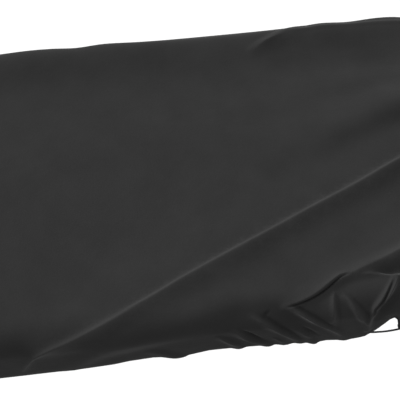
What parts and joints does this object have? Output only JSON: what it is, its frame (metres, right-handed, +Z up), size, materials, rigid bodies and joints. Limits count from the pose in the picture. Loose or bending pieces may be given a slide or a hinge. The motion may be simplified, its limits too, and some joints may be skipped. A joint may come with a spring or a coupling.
{
  "type": "keyboard dust cover",
  "caption": "Fitted stretch-cloth dust cover for a music keyboard, with an elastic hem, soft tension folds and a short exposed drawcord.",
  "frame": {"origin": "underside of the cloth at the middle of the top panel, where it lies on the keyboard", "axes": "+X along the keyboard, +Y towards its back, +Z up; the hem hangs towards -Z"},
  "size_m": [0.9528, 0.3759, 0.099],
  "materials": {
    "cloth": "matte knitted stretch polyester, near black",
    "cord": "matte braided elastic cord, black"
  },
  "bodies": {
    "root": {"cover": "cloth", "drawcord": "cord"}
  },
  "joints": []
}
